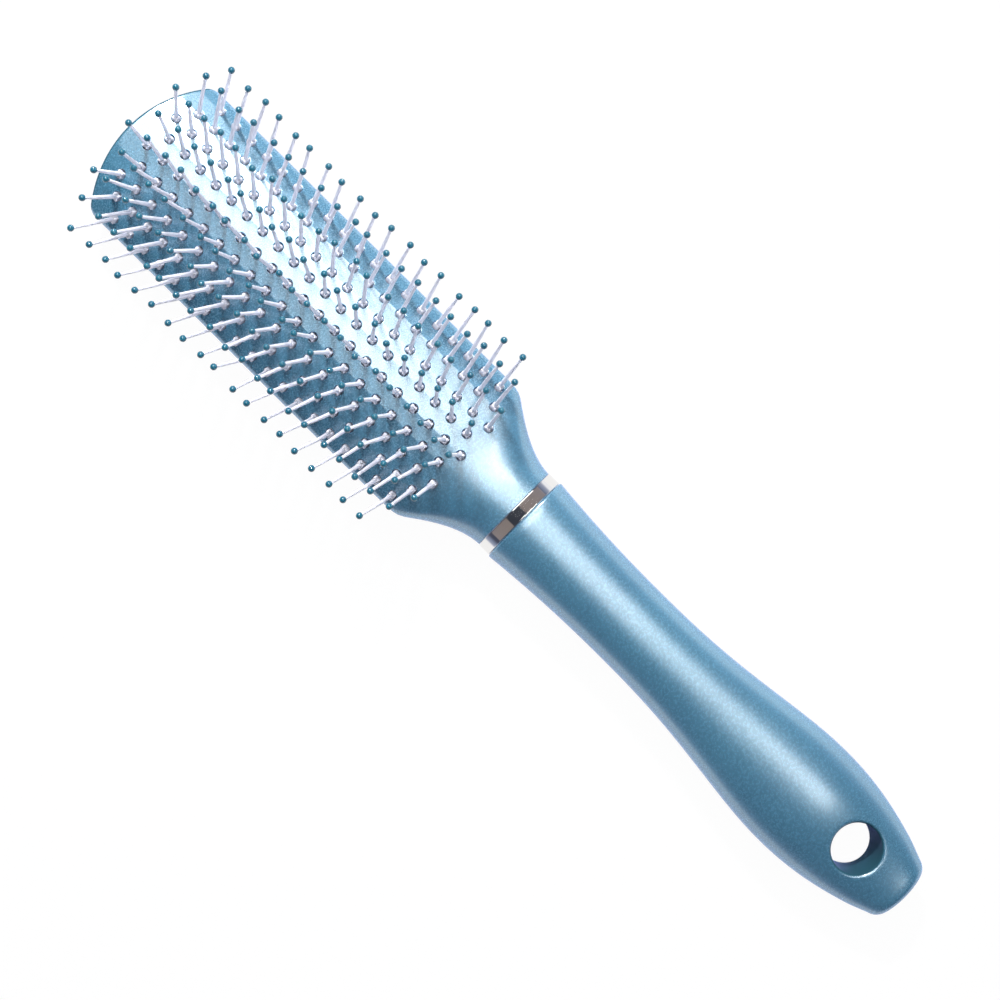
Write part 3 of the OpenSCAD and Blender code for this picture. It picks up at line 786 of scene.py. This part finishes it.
def pearlPaint():
    mat, tree, shader = newMaterial("pearl_paint_finish", IOR=paint["ior"], Sheen_Weight=paint["sheen"],
                                    Coat_Roughness=paint["coatRoughness"], Sheen_Tint=paint["sheenTint"],
                                    Sheen_Roughness=paint["sheenRoughness"])
    group = tree.nodes.new("ShaderNodeGroup")
    group.node_tree = pearlGroup()
    bump = tree.nodes.new("ShaderNodeBump")
    bump.inputs["Strength"].default_value = paint["bump"]
    bump.inputs["Distance"].default_value = paint["bumpDepth"]
    tree.links.new(group.outputs["Roughness"], shader.inputs["Roughness"])
    tree.links.new(group.outputs["Height"], bump.inputs["Height"])
    tree.links.new(bump.outputs["Normal"], shader.inputs["Normal"])
    # The pearl's gloss turns from warm white to periwinkle where the skin is seen at a slant.
    facing = tree.nodes.new("ShaderNodeLayerWeight").outputs["Facing"]
    tint = blend(tree, spread(tree, facing, *paint["slant"], 0, 1), *paint["tint"])
    tree.links.new(tint, shader.inputs["Specular Tint"])
    gloss = spread(tree, facing, *paint["slant"], *paint["gloss"])
    paintedShade = paintedShadeMask(tree)
    # The mask paints shade: the colour turns dark and gloss, metal and coat go, down the hole and along
    # the tip's edge.
    tree.links.new(blend(tree, paintedShade, group.outputs["Color"], paint["paintedShade"]), shader.inputs["Base Color"])
    tree.links.new(maths(tree, "MULTIPLY", gloss, spread(tree, paintedShade, 0, 1, 1, 0)),
                   shader.inputs["Specular IOR Level"])
    tree.links.new(spread(tree, paintedShade, 0, 1, paint["metallic"], 0), shader.inputs["Metallic"])
    tree.links.new(spread(tree, paintedShade, 0, 1, paint["coat"], 0), shader.inputs["Coat Weight"])
    return mat


# Plainer finishes: a colour that clouds between two shades and a roughness that varies.
nylonLook = dict(shades=((0.72, 0.71, 0.79, 1), (0.82, 0.81, 0.87, 1)), cloud=350,
                 roughness=(0.36, 0.5), grain=1800, detail=2.0)
ballLook = dict(shades=((0.008, 0.085, 0.15, 1), (0.014, 0.14, 0.20, 1)), cloud=120,
                roughness=(0.16, 0.28), grain=1500, detail=2.0)
plateLook = dict(roughness=(0.03, 0.06), grain=900, detail=3.0)


def plainFinish(name, look, **sockets):
    mat, tree, shader = newMaterial(name, **sockets)
    where = tree.nodes.new("ShaderNodeTexCoord").outputs["Object"]
    if "shades" in look:
        shade = blend(tree, noise(tree, where, look["cloud"]), *look["shades"])
        tree.links.new(shade, shader.inputs["Base Color"])
    grain = noise(tree, where, look["grain"], look["detail"])
    tree.links.new(spread(tree, grain, 0.3, 0.7, *look["roughness"]), shader.inputs["Roughness"])
    return mat


# Every piece rides on the one body and stands for its CAD node.
def dress(ob, node, finish):
    ob.data.materials.append(finish)
    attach(ob, "root")
    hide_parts(node)


pearl = pearlPaint()
white = plainFinish("pin_nylon_finish", nylonLook, Subsurface_Weight=0.5,
                    Subsurface_Radius=(1.0, 1.0, 1.0), Subsurface_Scale=0.001)
teal = plainFinish("ball_tip_finish", ballLook, Coat_Weight=0.5, Coat_Roughness=0.05)
plate = plainFinish("bright_plate_finish", plateLook, Metallic=1.0, Base_Color=(0.86, 0.85, 0.84, 1))
dress(frontShell(), "front_shell", pearl)
dress(backCover(), "back_cover", pearl)
dress(ferruleRing(), "ferrule_ring", plate)
dress(handleSkin(), "handle", pearl)
print("shells, ring and handle made")
for i in range(1, pins["rows"] + 1):
    dress(pinRow(i - 1 - midRow), "pin_strip_%d" % i, white)
    dress(ballRow(i - 1 - midRow), "tip_row_%d" % i, teal)
print("pins and balls made")


# Studio, in metres and watts. Level softboxes hang over the head, the neck and the handle, with a
# small key among them and two warm cards in line with the ring.
lights = dict(headBand=dict(place=(-0.275, 0.285, 0.66), size=(0.42, 0.61), power=3.95),
              neckBand=dict(place=(0.034, 0.15, 0.66), size=(0.036, 0.39), power=0.73),
              handleBand=dict(place=(0.274, 0.14, 0.66), size=(0.252, 0.21), power=0.54),
              key=dict(place=(-0.37, 0.315, 0.46), size=(0.07, 0.07), power=7.0))
cards = dict(x=-0.0115, height=0.67, width=0.046, power=0.03, colour=(1, 0.8, 0.66),
             runs=((-0.585, 0.83), (0.535, 0.93)))  # middle and length along y; power is for each metre
floorLook = dict(radius=2.5, points=64, colour=(0.9, 0.9, 0.92, 1), roughness=0.7, glow=0.97)


# A white disc. It glows evenly for the camera and in reflections, and lies plain in soft light.
def floor():
    me = bpy.data.meshes.new("floor")
    turn = np.arange(floorLook["points"]) * 2 * math.pi / floorLook["points"]
    rim = floorLook["radius"] * np.stack([np.cos(turn), np.sin(turn), 0 * turn], -1)
    me.from_pydata(rim.tolist(), [], [tuple(range(len(rim)))])
    ob = bpy.data.objects.new("floor", me)
    bpy.context.collection.objects.link(ob)
    mat, tree, shader = newMaterial("white_floor", Base_Color=floorLook["colour"],
                                    Roughness=floorLook["roughness"])
    rays = tree.nodes.new("ShaderNodeLightPath").outputs
    seen = maths(tree, "MAXIMUM", rays["Is Glossy Ray"], rays["Is Transmission Ray"])
    seen = maths(tree, "MAXIMUM", rays["Is Camera Ray"], seen)
    glow = tree.nodes.new("ShaderNodeEmission")
    mix = tree.nodes.new("ShaderNodeMixShader")
    tree.links.new(maths(tree, "MULTIPLY", seen, floorLook["glow"]), mix.inputs[0])
    tree.links.new(shader.outputs[0], mix.inputs[1])
    tree.links.new(glow.outputs[0], mix.inputs[2])
    tree.links.new(mix.outputs[0], tree.nodes["Material Output"].inputs["Surface"])
    me.materials.append(mat)


def softbox(name, place, size, power, colour=(1, 1, 1)):  # hangs level and faces the floor
    data = bpy.data.lights.new(name, "AREA")
    data.shape = "RECTANGLE"
    data.size, data.size_y = size
    data.energy = power
    data.color = colour
    ob = bpy.data.objects.new(name, data)
    ob.location = place
    bpy.context.collection.objects.link(ob)
    return ob


# The sky by height, from the horizon up. Its +Y side is paler than its height makes it, and the
# side past the head darker. The camera sees plain white.
sky = dict(stops=((0.0, (0.95, 0.96, 1, 1)), (0.13, (0.36, 0.4, 0.52, 1)), (0.28, (0.22, 0.26, 0.37, 1)),
                  (0.43, (0.07, 0.08, 0.12, 1)), (1.0, (0.04, 0.045, 0.06, 1))),
           tilts=(("Y", "MAXIMUM", -0.22), ("X", "MINIMUM", -0.5)))


def studio():
    floor()
    for name, light in lights.items():
        softbox(name, light["place"], light["size"], light["power"])
    for y, length in cards["runs"]:
        softbox("card", (cards["x"], y, cards["height"]), (cards["width"], length),
                cards["power"] * length, cards["colour"])
    world = bpy.data.worlds.new("studio")
    bpy.context.scene.world = world
    world.use_nodes = True
    tree = world.node_tree
    split = tree.nodes.new("ShaderNodeSeparateXYZ")
    tree.links.new(tree.nodes.new("ShaderNodeTexCoord").outputs["Generated"], split.inputs[0])
    height = split.outputs["Z"]
    for axis, half, share in sky["tilts"]:
        side = maths(tree, half, split.outputs[axis], 0.0)
        height = maths(tree, "MULTIPLY_ADD", side, share, height)
    ramp = tree.nodes.new("ShaderNodeValToRGB")
    while len(ramp.color_ramp.elements) < len(sky["stops"]):
        ramp.color_ramp.elements.new(0.5)
    for element, (at, colour) in zip(ramp.color_ramp.elements, sky["stops"]):
        element.position, element.color = at, colour
    tree.links.new(height, ramp.inputs["Fac"])
    seen = tree.nodes.new("ShaderNodeLightPath").outputs["Is Camera Ray"]
    back = tree.nodes["Background"]
    tree.links.new(blend(tree, seen, ramp.outputs["Color"], (1, 1, 1, 1)), back.inputs["Color"])


# The camera looks nearly straight down, turned so that the brush lies from corner to corner. Its
# place is in millimetres and its turn in degrees.
def camera():
    spot = dict(place=(9.33, -4.872, 381.26), turn=(1.9123, 1.0301, 44.8002), lens=58.587, sensor=36,
                clip=(0.01, 20))
    data = bpy.data.cameras.new("camera")
    data.lens = spot["lens"]
    data.sensor_width = spot["sensor"]
    data.clip_start, data.clip_end = spot["clip"]
    ob = bpy.data.objects.new("camera", data)
    ob.location = Vector(spot["place"]) * mm
    ob.rotation_euler = Euler([math.radians(a) for a in spot["turn"]])
    bpy.context.collection.objects.link(ob)
    bpy.context.scene.camera = ob


camera()
studio()
bpy.context.scene.view_settings.view_transform = "Standard"
print("camera and studio set")
